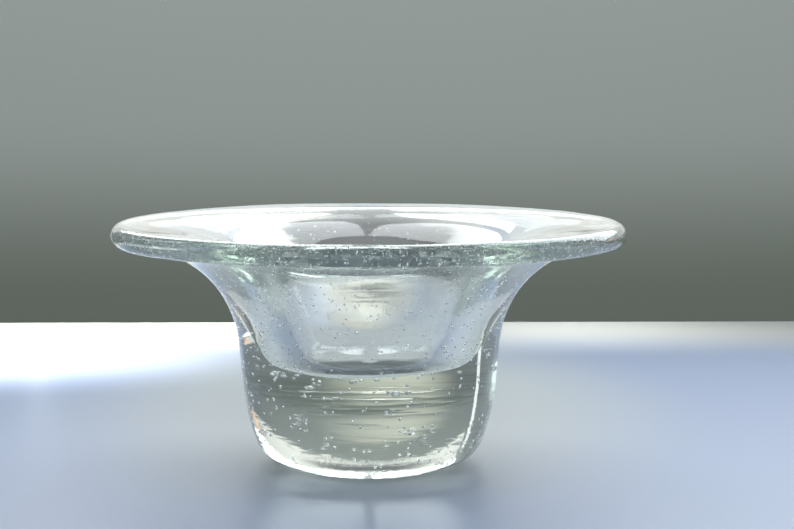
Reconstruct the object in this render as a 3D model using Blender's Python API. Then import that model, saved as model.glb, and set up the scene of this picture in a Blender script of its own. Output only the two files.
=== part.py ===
"""A heavy, one-piece crystallizing dish of clear seeded glass, with a thick base and a wide flared brim.

The dish is a solid of revolution about +Z. It stands on z = 0 with its axis through the origin.
Sizes are in millimetres here and are turned into metres as the profile is written.
"""

import math

import bpy
from mathutils import Vector
from mathutils.geometry import intersect_line_line_2d

METRES_PER_MM = 0.001

# Overall sizes
HEIGHT = 84.3
BRIM_DIAMETER = 175.0

# Brim: a flange that rises a little outwards and ends in a full round edge
BRIM_EDGE_THICKNESS = 7.0
BRIM_UNDERSIDE_RISE_DEG = 5.8
BRIM_TOP_RISE_DEG = 6.5
BRIM_EDGE_ROUND = 3.3

# Foot and heel: a ground flat, a shallow bevelled ring and a soft heel below the belly
FOOT_CORNER_RADIUS = 25.7
FOOT_ROUND = 12.5
HEEL_RADIUS = 36.9
HEEL_HEIGHT = 4.7
HEEL_ROUND = 9.9

# Outer wall: from the belly it leans outwards and sweeps into the brim's underside
BELLY_RADIUS = 42.3
BELLY_HEIGHT = 16.6
BELLY_ROUND = 50.0
WALL_LEAN_DEG = 5.2
FLARE_ROUND = 36.0

# Well: a dished floor, a soft corner, a steep wall and a wide lip into the brim's top.
# The base's thickness is measured at the floor's middle, its lowest place.
BASE_THICKNESS = 34.0
WELL_FLOOR_RADIUS = 23.1
WELL_FLOOR_RISE_DEG = 16.0
WELL_FLOOR_SWEEP = 69.0
WELL_FLOOR_ROUND = 7.0
WELL_WALL_SLOPE_DEG = 72.0
LIP_ROUND = 44.0

# Fineness of the turned surface
TURNS = 64
LARGEST_SAG = 0.1
LARGEST_FILLET_SHARE = 0.98

GLASS_COLOUR = (0.86, 0.90, 0.86, 1.0)
GLASS_ROUGHNESS = 0.03
GLASS_IOR = 1.5


def crossing(point, slope_deg, other_point, other_slope_deg):
    """Where a line through each point, at its slope above the horizontal, meets the other."""
    reach = 2 * BRIM_DIAMETER
    ends = []
    for start, slope in ((point, slope_deg), (other_point, other_slope_deg)):
        along = Vector((math.cos(math.radians(slope)), math.sin(math.radians(slope)))) * reach
        ends += [Vector(start) - along, Vector(start) + along]
    return intersect_line_line_2d(*ends)


def fillet_tangents(corners, rounds):
    """How far each corner's fillet reaches along its two sides, shortened where two fillets would meet."""
    tangents = [0.0] * len(corners)
    for i in range(1, len(corners) - 1):
        turn = (corners[i] - corners[i - 1]).angle(corners[i + 1] - corners[i])
        tangents[i] = rounds[i] * math.tan(turn / 2)
    shares = [1.0] * len(corners)
    for i in range(len(corners) - 1):
        wanted = tangents[i] + tangents[i + 1]
        room = LARGEST_FILLET_SHARE * (corners[i + 1] - corners[i]).length
        if wanted > room:
            shares[i] = min(shares[i], room / wanted)
            shares[i + 1] = min(shares[i + 1], room / wanted)
    return [tangent * share for tangent, share in zip(tangents, shares)]


def fillet_arc(before, corner, after, tangent):
    """Points along the arc that rounds a corner, with no chord further than LARGEST_SAG from it."""
    to_before = (before - corner).normalized()
    to_after = (after - corner).normalized()
    half_opening = to_before.angle(to_after) / 2
    radius = tangent * math.tan(half_opening)
    centre = corner + (to_before + to_after).normalized() * (radius / math.sin(half_opening))
    turn = math.pi - 2 * half_opening
    largest_step = 2 * math.acos(1 - LARGEST_SAG / radius)
    steps = max(2, math.ceil(turn / largest_step))
    spoke = corner + to_before * tangent - centre
    side = math.copysign(1.0, to_before.x * to_after.y - to_before.y * to_after.x)
    arc = []
    for step in range(steps + 1):
        angle = -side * turn * step / steps
        cosine, sine = math.cos(angle), math.sin(angle)
        arc.append(centre + Vector((spoke.x * cosine - spoke.y * sine, spoke.x * sine + spoke.y * cosine)))
    return arc


def rounded_outline(corners_and_rounds):
    """The outline through these corners, each rounded by an arc of its own radius."""
    corners = [Vector(corner) for corner, _ in corners_and_rounds]
    tangents = fillet_tangents(corners, [size for _, size in corners_and_rounds])
    outline = [corners[0]]
    for i in range(1, len(corners) - 1):
        outline += fillet_arc(corners[i - 1], corners[i], corners[i + 1], tangents[i])
    outline.append(corners[-1])
    return outline


def dish_outline():
    """The dish's section at +X, from the centre of the well's floor, over the brim and down to the foot."""
    brim_radius = BRIM_DIAMETER / 2
    floor_rise = WELL_FLOOR_RADIUS / 2 * math.tan(math.radians(WELL_FLOOR_RISE_DEG))
    floor_middle = (WELL_FLOOR_RADIUS / 2, BASE_THICKNESS)
    floor_corner = (WELL_FLOOR_RADIUS, BASE_THICKNESS + floor_rise)
    # The sloping top's sharp corner stands above its round, and the round's crest is what the height means
    crest_to_corner = BRIM_EDGE_ROUND * (1 / math.tan(math.radians(45 - BRIM_TOP_RISE_DEG / 2)) - 1)
    brim_top_edge = (brim_radius, HEIGHT + crest_to_corner)
    brim_low_edge = (brim_radius, HEIGHT - BRIM_EDGE_THICKNESS)
    belly = (BELLY_RADIUS, BELLY_HEIGHT)
    lip = crossing(floor_corner, WELL_WALL_SLOPE_DEG, brim_top_edge, BRIM_TOP_RISE_DEG)
    flare = crossing(belly, 90 - WALL_LEAN_DEG, brim_low_edge, BRIM_UNDERSIDE_RISE_DEG)
    return rounded_outline(
        [
            ((0, BASE_THICKNESS), 0),
            (floor_middle, WELL_FLOOR_SWEEP),
            (floor_corner, WELL_FLOOR_ROUND),
            (lip, LIP_ROUND),
            (brim_top_edge, BRIM_EDGE_ROUND),
            (brim_low_edge, BRIM_EDGE_ROUND),
            (flare, FLARE_ROUND),
            (belly, BELLY_ROUND),
            ((HEEL_RADIUS, HEEL_HEIGHT), HEEL_ROUND),
            ((FOOT_CORNER_RADIUS, 0), FOOT_ROUND),
            ((0, 0), 0),
        ]
    )


def glass_material():
    material = bpy.data.materials.new("clear_seeded_glass")
    material.use_nodes = True
    shader = material.node_tree.nodes["Principled BSDF"]
    shader.inputs["Base Color"].default_value = GLASS_COLOUR
    shader.inputs["Roughness"].default_value = GLASS_ROUGHNESS
    shader.inputs["IOR"].default_value = GLASS_IOR
    shader.inputs["Transmission Weight"].default_value = 1.0
    return material


def turned(name, outline, material):
    """One closed body, turned about +Z from its section."""
    points = [(point.x * METRES_PER_MM, 0.0, point.y * METRES_PER_MM) for point in outline]
    mesh = bpy.data.meshes.new(name)
    mesh.from_pydata(points, [(i, i + 1) for i in range(len(points) - 1)], [])
    mesh.materials.append(material)
    body = bpy.data.objects.new(name, mesh)
    bpy.context.scene.collection.objects.link(body)
    screw = body.modifiers.new("turn", "SCREW")
    screw.axis = "Z"
    screw.steps = TURNS
    screw.render_steps = TURNS
    screw.use_smooth_shade = True
    screw.use_merge_vertices = True
    screw.merge_threshold = 0.00001
    return body


def main():
    for old in list(bpy.data.objects):
        bpy.data.objects.remove(old)
    turned("glass_dish", dish_outline(), glass_material())


main()
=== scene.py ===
import math
import random

import bpy
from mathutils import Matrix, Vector
from mathutils.bvhtree import BVHTree


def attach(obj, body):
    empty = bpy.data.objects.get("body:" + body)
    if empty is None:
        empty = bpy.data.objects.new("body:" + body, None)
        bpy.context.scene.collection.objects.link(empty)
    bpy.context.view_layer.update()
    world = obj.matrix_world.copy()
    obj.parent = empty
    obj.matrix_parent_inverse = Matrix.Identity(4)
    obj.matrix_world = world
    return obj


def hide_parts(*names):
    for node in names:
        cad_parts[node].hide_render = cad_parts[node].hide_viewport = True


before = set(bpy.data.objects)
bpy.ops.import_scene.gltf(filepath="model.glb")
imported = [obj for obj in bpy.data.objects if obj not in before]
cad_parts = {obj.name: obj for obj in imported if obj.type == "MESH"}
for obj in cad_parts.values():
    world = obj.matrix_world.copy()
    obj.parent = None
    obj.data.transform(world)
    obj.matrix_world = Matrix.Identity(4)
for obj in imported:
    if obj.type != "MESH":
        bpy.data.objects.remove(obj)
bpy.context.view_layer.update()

mm = 0.001


# Small helpers used by every piece
def deselectAll():
    if bpy.context.mode != "OBJECT":
        bpy.ops.object.mode_set(mode="OBJECT")
    bpy.ops.object.select_all(action="DESELECT")


def makeActive(piece):
    deselectAll()
    piece.select_set(True)
    bpy.context.view_layer.objects.active = piece


def selectWhere(piece, mode, test):
    # Selects the verts, edges or faces that pass the test, and leaves the piece in edit mode
    makeActive(piece)
    bpy.ops.object.mode_set(mode="EDIT")
    bpy.ops.mesh.select_mode(type=mode)
    bpy.ops.mesh.select_all(action="DESELECT")
    bpy.ops.object.mode_set(mode="OBJECT")
    parts = {"VERT": piece.data.vertices, "EDGE": piece.data.edges, "FACE": piece.data.polygons}[mode]
    for part in parts:
        part.select = test(part)
    bpy.ops.object.mode_set(mode="EDIT")


def applyAll(piece):
    makeActive(piece)
    for modifier in list(piece.modifiers):
        bpy.ops.object.modifier_apply(modifier=modifier.name)


def weightByPlace(piece, name, weightAt):
    # A vertex group whose weight comes from each vertex's place
    group = piece.vertex_groups.new(name=name)
    for vertex in piece.data.vertices:
        group.add([vertex.index], weightAt(vertex.co), "REPLACE")
    return group


def ramp(value, low, high):
    return min(1.0, max(0.0, (value - low) / (high - low)))


def addNode(tree, kind, place, **settings):
    node = tree.nodes.new(kind)
    node.location = place
    for key, value in settings.items():
        setattr(node, key, value)
    return node


# The glass: clear, faintly grey-green in its depth, and rippled on the skin
glassFinish = {
    "ior": 1.5,
    "roughness": 0.05,
    "wellRoughness": 0.08,                       # on the well's wall
    "absorbColour": (0.84, 0.90, 0.85, 1.0),
    "absorbDensity": 10.0,                       # per metre
    # ripples: how high in metres, how often along x, y and z in a metre, and how finely broken up
    "flatRipple": (0.00011, (40.0, 40.0, 600.0), 1.0),        # long and flat, round the outside
    "uprightRipple": (0.00011, (460.0, 460.0, 60.0), 3.0),    # short, on the brim's edge and the heel
    "skinRipple": (0.00004, (70.0, 70.0, 110.0), 2.0),        # faint, all over
    "wallShare": 0.12,                           # how much of the flat ripple stays above the base
    "heelShare": 2.4,                            # how much of the upright ripple the heel has
}
# Where each ripple, and the softer well, fade in: from and to, in metres, in height or out from the axis
glassZones = {
    "baseHeight": (0.037, 0.022),
    "outsideReach": (0.033, 0.037),
    "footHeight": (0.0005, 0.003),
    "wallHeight": (0.078, 0.070),
    "heelHeight": (0.013, 0.008),
    "flatFootHeight": (0.0003, 0.0015),
    "edgeReach": (0.078, 0.085),
    "wellReach": (0.052, 0.036),
    "wellHeight": (0.042, 0.050),
}


def rippleHeight(tree, place, ripple, down):
    height, often, detail = ripple
    stretch = addNode(tree, "ShaderNodeMapping", (-900, down))
    stretch.inputs["Scale"].default_value = often
    noise = addNode(tree, "ShaderNodeTexNoise", (-700, down))
    noise.inputs["Scale"].default_value = 1.0
    noise.inputs["Detail"].default_value = detail
    noise.inputs["Roughness"].default_value = 0.5
    tall = addNode(tree, "ShaderNodeMath", (-500, down), operation="MULTIPLY")
    tall.inputs[1].default_value = height
    tree.links.new(place, stretch.inputs["Vector"])
    tree.links.new(stretch.outputs["Vector"], noise.inputs["Vector"])
    tree.links.new(noise.outputs["Fac"], tall.inputs[0])
    return tall.outputs["Value"]


def fade(tree, value, start, end, across, least=0.0, most=1.0):
    # Eases from the least at start to the most at end
    ease = addNode(tree, "ShaderNodeMapRange", across, interpolation_type="SMOOTHSTEP")
    ease.inputs["From Min"].default_value = start
    ease.inputs["From Max"].default_value = end
    ease.inputs["To Min"].default_value = least
    ease.inputs["To Max"].default_value = most
    tree.links.new(value, ease.inputs["Value"])
    return ease.outputs["Result"]


def combine(tree, kind, first, second, across):
    node = addNode(tree, "ShaderNodeMath", across, operation=kind)
    tree.links.new(first, node.inputs[0])
    tree.links.new(second, node.inputs[1])
    return node.outputs["Value"]


def makeGlass():
    material = bpy.data.materials.new("seededGlass")
    material.use_nodes = True
    tree = material.node_tree
    tree.nodes.clear()
    out = addNode(tree, "ShaderNodeOutputMaterial", (900, 0))
    shader = addNode(tree, "ShaderNodeBsdfPrincipled", (600, 0))
    shader.inputs["Base Color"].default_value = (1, 1, 1, 1)
    shader.inputs["Roughness"].default_value = glassFinish["roughness"]
    shader.inputs["IOR"].default_value = glassFinish["ior"]
    shader.inputs["Transmission Weight"].default_value = 1.0
    absorb = addNode(tree, "ShaderNodeVolumeAbsorption", (600, -420))
    absorb.inputs["Color"].default_value = glassFinish["absorbColour"]
    absorb.inputs["Density"].default_value = glassFinish["absorbDensity"]

    # How far out from the axis, and how high, each point lies
    place = addNode(tree, "ShaderNodeTexCoord", (-1300, 0)).outputs["Object"]
    split = addNode(tree, "ShaderNodeSeparateXYZ", (-1100, 300))
    tree.links.new(place, split.inputs["Vector"])
    flat = addNode(tree, "ShaderNodeVectorMath", (-1100, 150), operation="MULTIPLY")
    flat.inputs[1].default_value = (1, 1, 0)
    tree.links.new(place, flat.inputs[0])
    reach = addNode(tree, "ShaderNodeVectorMath", (-900, 150), operation="LENGTH")
    tree.links.new(flat.outputs["Vector"], reach.inputs[0])
    outward = reach.outputs["Value"]
    up = split.outputs["Z"]

    # Where each kind of ripple lies
    zones = glassZones
    onBase = fade(tree, up, *zones["baseHeight"], (-700, 700), glassFinish["wallShare"], 1.0)
    outside = fade(tree, outward, *zones["outsideReach"], (-700, 500))
    onOutside = combine(tree, "MULTIPLY", onBase, outside, (-500, 600))
    aboveFoot = combine(tree, "MULTIPLY", onOutside,
                        fade(tree, up, *zones["footHeight"], (-700, 300)), (-300, 500))
    belowBrim = combine(tree, "MULTIPLY", aboveFoot,
                        fade(tree, up, *zones["wallHeight"], (-500, 300)), (-100, 400))
    lowDown = fade(tree, up, *zones["heelHeight"], (-700, 100), 0.0, glassFinish["heelShare"])
    onHeel = combine(tree, "MULTIPLY", lowDown,
                     fade(tree, up, *zones["flatFootHeight"], (-700, -50)), (-500, 50))
    onEdge = combine(tree, "MAXIMUM", fade(tree, outward, *zones["edgeReach"], (-500, -100)),
                     onHeel, (-300, 0))

    # The well's wall is a little softer than the rest; the value set above is the one an export can read
    inWell = combine(tree, "MULTIPLY", fade(tree, outward, *zones["wellReach"], (-700, 900)),
                     fade(tree, up, *zones["wellHeight"], (-700, 1100)), (-500, 1000))
    soften = addNode(tree, "ShaderNodeMapRange", (-300, 1000))
    soften.inputs["To Min"].default_value = glassFinish["roughness"]
    soften.inputs["To Max"].default_value = glassFinish["wellRoughness"]
    tree.links.new(inWell, soften.inputs["Value"])
    tree.links.new(soften.outputs["Result"], shader.inputs["Roughness"])

    flatHeight = combine(tree, "MULTIPLY", rippleHeight(tree, place, glassFinish["flatRipple"], -300),
                         belowBrim, (0, 200))
    uprightHeight = combine(tree, "MULTIPLY", rippleHeight(tree, place, glassFinish["uprightRipple"], -500),
                            onEdge, (0, 0))
    skinHeight = rippleHeight(tree, place, glassFinish["skinRipple"], -700)
    both = combine(tree, "ADD", flatHeight, uprightHeight, (150, 50))
    height = combine(tree, "ADD", both, skinHeight, (250, -150))
    bump = addNode(tree, "ShaderNodeBump", (350, -150))
    bump.inputs["Strength"].default_value = 1.0
    bump.inputs["Distance"].default_value = 1.0
    tree.links.new(height, bump.inputs["Height"])
    tree.links.new(bump.outputs["Normal"], shader.inputs["Normal"])
    tree.links.new(shader.outputs["BSDF"], out.inputs["Surface"])
    tree.links.new(absorb.outputs["Volume"], out.inputs["Volume"])
    return material


# The air sealed in the glass: its wall is hazy, and lets most of the light through
airFinish = {
    "roughness": 0.35,
    "clearness": 0.75,
}


def makeAirInGlass():
    # Going from glass into air bends light the other way, hence the inverted index
    material = bpy.data.materials.new("airSeed")
    material.use_nodes = True
    tree = material.node_tree
    tree.nodes.clear()
    out = addNode(tree, "ShaderNodeOutputMaterial", (500, 0))
    shader = addNode(tree, "ShaderNodeBsdfPrincipled", (200, 0))
    shader.inputs["Base Color"].default_value = (1, 1, 1, 1)
    shader.inputs["Roughness"].default_value = airFinish["roughness"]
    shader.inputs["IOR"].default_value = 1 / glassFinish["ior"]
    shader.inputs["Transmission Weight"].default_value = airFinish["clearness"]
    tree.links.new(shader.outputs["BSDF"], out.inputs["Surface"])
    return material


glass = makeGlass()
airSeed = makeAirInGlass()


# The dish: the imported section, turned finely and given a hand-made waviness
dish = {
    "turns": 64,                # before smoothing
    "straightStep": 1.6 * mm,   # straight stretches of the section are cut to about this
    "smoothing": 2,             # each level halves every face both ways
    "straightLeast": 6.5 * mm,  # an edge longer than this is a straight stretch
    "sameSpot": 0.002 * mm,     # points closer than this are one point
    "sameSpun": 0.005 * mm,     # the same, once the section is spun
    "wobble": 0.5 * mm,         # slow waviness of the whole piece
    "wobbleSize": 34 * mm,
    "wobbleHeight": (0.5 * mm, 6 * mm),    # fades in above the foot, which stays flat
}


def turnDish():
    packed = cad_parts["glass_dish"]
    piece = bpy.data.objects.new("dish_body", packed.data.copy())
    bpy.context.scene.collection.objects.link(piece)
    makeActive(piece)
    bpy.ops.object.mode_set(mode="EDIT")
    bpy.ops.mesh.select_all(action="SELECT")
    bpy.ops.mesh.remove_doubles(threshold=dish["sameSpot"])
    # Only the half section at +X stays
    near = dish["sameSpot"]
    selectWhere(piece, "VERT", lambda v: abs(v.co.y) > near or v.co.x < -near)
    bpy.ops.mesh.delete(type="VERT")
    bpy.ops.object.mode_set(mode="OBJECT")
    mesh = piece.data

    def length(edge):
        a, b = (mesh.vertices[i].co for i in edge.vertices)
        return (a - b).length

    # Straight stretches stand out by their length; round ones keep their own points
    straight = dish["straightLeast"]
    longEdges = sorted({round(length(e) / mm, 2) for e in mesh.edges if length(e) > straight})
    for long in longEdges:
        cuts = max(1, round(long * mm / dish["straightStep"]) - 1)
        selectWhere(piece, "EDGE", lambda e: round(length(e) / mm, 2) == long)
        bpy.ops.mesh.subdivide(number_cuts=cuts)
        bpy.ops.object.mode_set(mode="OBJECT")
    makeActive(piece)
    bpy.ops.object.mode_set(mode="EDIT")
    bpy.ops.mesh.select_all(action="SELECT")
    bpy.ops.mesh.spin(steps=dish["turns"], angle=math.tau, center=(0, 0, 0), axis=(0, 0, 1))
    bpy.ops.mesh.select_all(action="SELECT")
    bpy.ops.mesh.remove_doubles(threshold=dish["sameSpun"])
    bpy.ops.mesh.normals_make_consistent(inside=False)
    bpy.ops.object.mode_set(mode="OBJECT")
    smooth = piece.modifiers.new("smooth", "SUBSURF")
    smooth.levels = smooth.render_levels = dish["smoothing"]
    applyAll(piece)
    return piece


def waveDish(piece):
    slow = bpy.data.textures.new("slowWobble", "CLOUDS")
    slow.noise_scale = dish["wobbleSize"]
    slow.noise_depth = 1
    weightByPlace(piece, "aboveFoot", lambda p: ramp(p.z, *dish["wobbleHeight"]))
    wobble = piece.modifiers.new("wobble", "DISPLACE")
    wobble.texture = slow
    wobble.texture_coords = "LOCAL"
    wobble.strength = dish["wobble"]
    wobble.mid_level = 0.5
    wobble.vertex_group = "aboveFoot"
    applyAll(piece)


dishBody = turnDish()
waveDish(dishBody)
makeActive(dishBody)
bpy.ops.object.shade_smooth()
dishBody.data.materials.clear()
dishBody.data.materials.append(glass)
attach(dishBody, "root")
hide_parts("glass_dish")
print("dish turned:", len(dishBody.data.polygons), "faces")


# Air seeds sealed in the glass, in four groups
seeds = {
    # group: how many, radius from and to, depth below the skin to,
    # the space they lie in: from and to out from the axis, then in height
    "seeds_edge": (1250, 0.16 * mm, 0.36 * mm, 3 * mm, 77 * mm, 88 * mm, 74 * mm, 86 * mm),
    "seeds_brim": (420, 0.20 * mm, 0.40 * mm, 4 * mm, 55 * mm, 77 * mm, 60 * mm, 86 * mm),
    "seeds_wall": (680, 0.28 * mm, 0.50 * mm, 5 * mm, 0, 55 * mm, 37 * mm, 86 * mm),
    "seeds_base": (420, 0.42 * mm, 0.72 * mm, 4 * mm, 20 * mm, 46 * mm, 1 * mm, 37 * mm),
}
seedSkin = 0.3 * mm         # least glass between a seed and the surface, or another seed
seedShape = (1.0, 0.94, 0.9)
smallSeeds = 1.5            # above 1, small seeds outnumber large ones
seedDraw = 11


def modelSeed():
    deselectAll()
    bpy.ops.mesh.primitive_ico_sphere_add(subdivisions=2, radius=1)
    seed = bpy.context.object
    bpy.ops.object.mode_set(mode="EDIT")
    bpy.ops.mesh.select_all(action="SELECT")
    bpy.ops.transform.resize(value=seedShape)
    bpy.ops.object.mode_set(mode="OBJECT")
    bpy.ops.object.shade_smooth()
    seed.data.materials.append(airSeed)
    return seed


def placeSeeds(seed):
    chance = random.Random(seedDraw)
    body = BVHTree.FromObject(dishBody, bpy.context.evaluated_depsgraph_get())
    taken = []
    groups = []
    for name, (count, smallest, largest, deepest, near, far, low, high) in seeds.items():
        copies = []
        while len(copies) < count:
            reach = math.sqrt(chance.uniform(near * near, far * far))
            angle = chance.uniform(0, math.tau)
            place = Vector((reach * math.cos(angle), reach * math.sin(angle), chance.uniform(low, high)))
            size = smallest + (largest - smallest) * chance.random() ** smallSeeds
            turn = (chance.uniform(0, math.tau), chance.uniform(0, math.tau), chance.uniform(0, math.tau))
            found, normal, _, gap = body.find_nearest(place)
            if (place - found).dot(normal) > 0 or not size + seedSkin < gap < deepest:
                continue
            if any((place - other).length < size + wide + seedSkin for other, wide in taken):
                continue
            taken.append((place, size))
            copy = seed.copy()
            copy.data = seed.data.copy()
            copy.location = place
            copy.scale = (size, size, size)
            copy.rotation_euler = turn
            bpy.context.scene.collection.objects.link(copy)
            copies.append(copy)
        deselectAll()
        for copy in copies:
            copy.select_set(True)
        bpy.context.view_layer.objects.active = copies[0]
        bpy.ops.object.join()
        group = bpy.context.object
        group.name = name
        bpy.ops.object.transform_apply(location=True, rotation=True, scale=True)
        groups.append(group)
    return groups


seed = modelSeed()
for group in placeSeeds(seed):
    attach(group, "root")
    print(group.name, len(group.data.polygons), "faces")
bpy.data.objects.remove(seed)


# Table top with painted shade and painted sunlight, backdrop graded darker towards its foot as a painted
# shade, softboxes, room and camera
studio = {
    "tableBack": 0.357,                      # the table's far edge, behind the dish
    "tableHalf": 2,                          # how far it reaches to the sides and the front
    "tableRoughness": 0.45,
    "tableColour": (0.195, 0.238, 0.338, 1),
    # painted shade: close behind the dish, where its shadow falls, the table is greyer: where, how much
    # tighter across, and from and to how far
    "paintedShadeColour": (0.28, 0.308, 0.325, 1),
    "shadePlace": (0, 0.12, 0),
    "shadeTighter": 1.6,
    "shadeReach": (0.09, 0.23),
    # painted sunlight: towards its far edge the table is warmer and lighter, as if the sun fell there
    "paintedSunColour": (0.33, 0.345, 0.335, 1),
    "paintedSunFade": (0.23, 0.33),
    "backdropPlace": 1.6,
    "backdropHalf": 4,
    "backdropHeights": (-2, 3),
    "backdropRoughness": 0.9,
    # the backdrop's low colour is darker: a painted shade towards its foot
    "backdropPaintedShade": (0.20, 0.225, 0.19, 1),
    "backdropHigh": (0.42, 0.455, 0.43, 1),
    "backdropFade": (-0.15, 0.08),           # in height, from the low colour to the high one
    "boxBack": 0.36,                         # softboxes stand just past the table's far edge
    "room": (0.29, 0.31, 0.32, 1),
}
# name: from and to across, from and to in height, radiance, colour
softboxes = {
    "leftHigh": (-0.262, -0.0145, 0.20, 0.95, 4.6, (0.93, 0.97, 1.0)),
    "leftLow": (-0.262, -0.0145, 0.095, 0.20, 0.72, (1.0, 0.98, 0.93)),
    "rightHigh": (0.0095, 0.70, 0.20, 0.95, 4.6, (0.90, 0.96, 1.0)),
    "rightLow": (0.0095, 0.44, 0.095, 0.20, 0.72, (1.0, 0.98, 0.92)),
    "middle": (-0.0145, 0.0095, 0.095, 0.95, 0.55, (0.93, 0.98, 1.0)),
    "rightWarm": (0.44, 0.60, 0.095, 0.17, 1.2, (1.0, 0.62, 0.40)),
}


def plainMaterial(name, colour, roughness):
    material = bpy.data.materials.new(name)
    material.use_nodes = True
    shader = material.node_tree.nodes["Principled BSDF"]
    shader.inputs["Base Color"].default_value = colour
    shader.inputs["Roughness"].default_value = roughness
    return material


def blendColours(tree, share, first, second, across):
    # The share is 0 where the first colour lies and 1 where the second does
    blend = addNode(tree, "ShaderNodeMix", across, data_type="RGBA")
    tree.links.new(share, blend.inputs["Factor"])
    for name, colour in (("A", first), ("B", second)):
        if isinstance(colour, tuple):
            blend.inputs[name].default_value = colour
        else:
            tree.links.new(colour, blend.inputs[name])
    return blend.outputs["Result"]


def tableMaterial():
    material = plainMaterial("paleTable", studio["tableColour"], studio["tableRoughness"])
    tree = material.node_tree
    place = addNode(tree, "ShaderNodeTexCoord", (-1100, 0)).outputs["Object"]
    tighter = addNode(tree, "ShaderNodeMapping", (-900, 0))
    tighter.inputs["Scale"].default_value = (studio["shadeTighter"], 1, 1)
    away = addNode(tree, "ShaderNodeVectorMath", (-700, 0), operation="DISTANCE")
    away.inputs[1].default_value = studio["shadePlace"]
    tree.links.new(place, tighter.inputs["Vector"])
    tree.links.new(tighter.outputs["Vector"], away.inputs[0])
    # painted shade: greyer close behind the dish, where its shadow falls
    outOfShade = fade(tree, away.outputs["Value"], *studio["shadeReach"], (-500, 0))
    split = addNode(tree, "ShaderNodeSeparateXYZ", (-700, -200))
    tree.links.new(place, split.inputs["Vector"])
    # painted sunlight: warmer and lighter towards the far edge
    inPaintedSun = fade(tree, split.outputs["Y"], *studio["paintedSunFade"], (-500, -250))
    plain = blendColours(tree, outOfShade, studio["paintedShadeColour"], studio["tableColour"], (-300, 0))
    whole = blendColours(tree, inPaintedSun, plain, studio["paintedSunColour"], (-100, -100))
    tree.links.new(whole, tree.nodes["Principled BSDF"].inputs["Base Color"])
    return material


def backdropMaterial():
    material = plainMaterial("paperWithPaintedShade", studio["backdropHigh"], studio["backdropRoughness"])
    tree = material.node_tree
    place = addNode(tree, "ShaderNodeTexCoord", (-900, 0)).outputs["Object"]
    split = addNode(tree, "ShaderNodeSeparateXYZ", (-700, 0))
    tree.links.new(place, split.inputs["Vector"])
    # darker towards the foot: a painted shade
    share = fade(tree, split.outputs["Z"], *studio["backdropFade"], (-500, 0))
    graded = blendColours(tree, share, studio["backdropPaintedShade"], studio["backdropHigh"], (-300, 0))
    tree.links.new(graded, tree.nodes["Principled BSDF"].inputs["Base Color"])
    return material


def stagePlane(name, low, high, material):
    # A flat rectangle between two opposite corners
    deselectAll()
    bpy.ops.mesh.primitive_plane_add(size=1)
    plane = bpy.context.object
    plane.name = name
    low, high = Vector(low), Vector(high)
    size = high - low
    if size.y == 0:
        plane.rotation_euler = (math.pi / 2, 0, 0)
        plane.scale = (size.x, size.z, 1)
    else:
        plane.scale = (size.x, size.y, 1)
    plane.location = (low + high) / 2
    bpy.ops.object.transform_apply(location=True, rotation=True, scale=True)
    plane.data.materials.append(material)
    return plane


def softbox(name, centre, wide, tall, radiance, colour, aim=(0, -1, 0), spread=180, mirrored=True):
    lamp = bpy.data.lights.new(name, "AREA")
    lamp.shape = "RECTANGLE"
    lamp.size = wide
    lamp.size_y = tall
    lamp.energy = radiance * math.pi * wide * tall
    lamp.color = colour
    lamp.spread = math.radians(spread)
    stand = bpy.data.objects.new(name, lamp)
    stand.location = centre
    stand.rotation_euler = Vector(aim).to_track_quat("-Z", "Y").to_euler()
    stand.visible_camera = False
    if not mirrored:                         # lights the table or backdrop, and isn't seen in the glass
        stand.visible_glossy = False
        stand.visible_transmission = False
    bpy.context.scene.collection.objects.link(stand)
    return stand


# Small soft-edged cards behind the dish, whose glow shows in the glass.
# name: place, half the size across and in height, colour, strength, how far out the fading starts
glowCards = {
    "baseGlow": ((-0.012, 0.15, 0.0220), (0.044, 0.009), (0.97, 1.0, 0.86, 1), 0.70, 0.0),
    "wellGlow": ((0.0, 0.15, 0.056), (0.060, 0.018), (0.93, 0.98, 1.0, 1), 0.24, 0.3),
}


def glowCard(name, place, half, colour, strength, solid):
    (x, y, z), (wide, tall) = place, half
    material = bpy.data.materials.new(name)
    material.use_nodes = True
    tree = material.node_tree
    tree.nodes.clear()
    spot = addNode(tree, "ShaderNodeTexCoord", (-900, 0)).outputs["Object"]
    spread = addNode(tree, "ShaderNodeMapping", (-700, 0), vector_type="TEXTURE")
    spread.inputs["Location"].default_value = place
    spread.inputs["Scale"].default_value = (wide, 1, tall)
    away = addNode(tree, "ShaderNodeVectorMath", (-500, 0), operation="LENGTH")
    share = fade(tree, away.outputs["Value"], 1.0, solid, (-300, 0))
    tree.links.new(spot, spread.inputs["Vector"])
    tree.links.new(spread.outputs["Vector"], away.inputs[0])
    clear = addNode(tree, "ShaderNodeBsdfTransparent", (-100, 100))
    shine = addNode(tree, "ShaderNodeEmission", (-100, -100))
    shine.inputs["Color"].default_value = colour
    shine.inputs["Strength"].default_value = strength
    mix = addNode(tree, "ShaderNodeMixShader", (100, 0))
    out = addNode(tree, "ShaderNodeOutputMaterial", (300, 0))
    tree.links.new(share, mix.inputs["Fac"])
    tree.links.new(clear.outputs["BSDF"], mix.inputs[1])
    tree.links.new(shine.outputs["Emission"], mix.inputs[2])
    tree.links.new(mix.outputs["Shader"], out.inputs["Surface"])
    card = stagePlane(name, (x - wide, y, max(0, z - tall)), (x + wide, y, z + tall), material)
    card.visible_camera = False
    card.visible_diffuse = False
    card.visible_shadow = False


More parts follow.
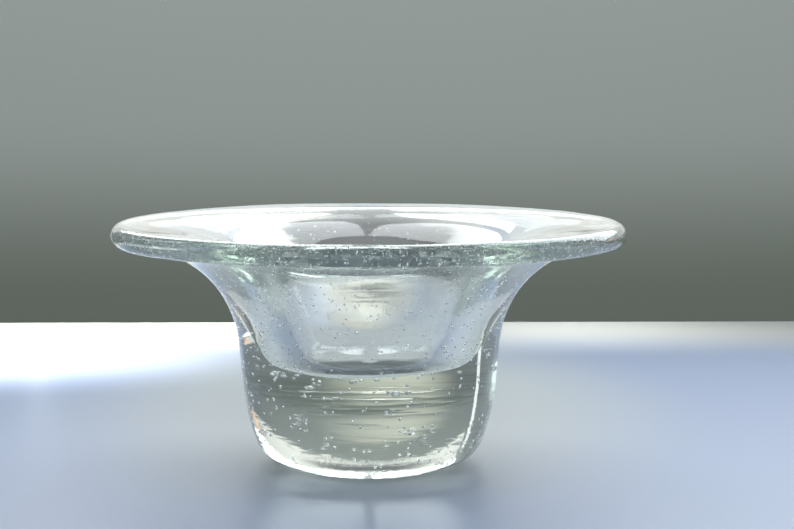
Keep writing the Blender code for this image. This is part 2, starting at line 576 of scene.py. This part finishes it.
# The other lamps. name: place, size across and along, radiance, colour, aim, spread in degrees,
# and whether the glass shows them
lamps = {
    # a slim upright card on the left, which puts a bright line in the thick glass
    "slimCard": ((-0.150, 0.205, 0.045), 0.011, 0.09, 1.0, (0.93, 0.98, 1.0), (0.150, -0.205, 0), 180, True),
    # the backdrop has a lamp of its own
    "backdropLamp": ((0, 0.9, 1.5), 3.0, 1.0, 3.0, (1, 1, 0.99), (0, 0.7, -1.6), 180, False),
    # the table's far edge and far left are brighter, as if the sun fell there
    "edgeLamp": ((-0.24, 0.325, 0.5), 0.46, 0.05, 12.0, (1, 0.95, 0.84), (0, 0, -1), 14, False),
    "edgeTail": ((0.10, 0.325, 0.5), 0.12, 0.03, 6.0, (1, 0.99, 0.96), (0, 0, -1), 20, False),
    "patchLamp": ((-0.26, 0.45, 0.60), 0.22, 0.06, 26.0, (1, 0.99, 0.97), (0.04, -0.20, -0.60), 18, False),
    # a wide soft fill from the front and above keeps the dish's shadow light
    "frontFill": ((0, -0.55, 0.60), 0.8, 0.5, 2.5, (0.88, 0.94, 1.0), (0, 0.45, -0.60), 180, False),
}


def makeStudio():
    half, far = studio["tableHalf"], studio["backdropPlace"]
    stagePlane("table", (-half, -half, 0), (half, studio["tableBack"], 0), tableMaterial())
    wide, (low, high) = studio["backdropHalf"], studio["backdropHeights"]
    stagePlane("backdrop", (-wide, far, low), (wide, far, high), backdropMaterial())
    for name, (left, right, low, high, radiance, colour) in softboxes.items():
        centre = ((left + right) / 2, studio["boxBack"], (low + high) / 2)
        softbox(name, centre, right - left, high - low, radiance, colour)
    for name, lamp in lamps.items():
        softbox(name, *lamp)
    for name, card in glowCards.items():
        glowCard(name, *card)
    world = bpy.data.worlds.new("room")
    world.use_nodes = True
    world.node_tree.nodes["Background"].inputs["Color"].default_value = studio["room"]
    bpy.context.scene.world = world


view = {
    "distance": 0.6377,     # from the dish's axis
    "height": 0.1379,
    "pitch": 6.13,          # degrees down
    "yaw": 0.855,           # degrees to the right
    "lens": 85.0,
}


def makeCamera():
    data = bpy.data.cameras.new("camera")
    data.lens = view["lens"]
    data.sensor_width = 36
    camera = bpy.data.objects.new("camera", data)
    camera.location = (0, -view["distance"], view["height"])
    camera.rotation_euler = (math.radians(90 - view["pitch"]), 0, -math.radians(view["yaw"]))
    bpy.context.scene.collection.objects.link(camera)
    bpy.context.scene.camera = camera


makeStudio()
makeCamera()
bpy.context.scene.view_settings.view_transform = "Standard"
bpy.context.scene.cycles.max_bounces = 24
bpy.context.scene.cycles.transmission_bounces = 24
bpy.context.scene.cycles.glossy_bounces = 12
print("studio set")
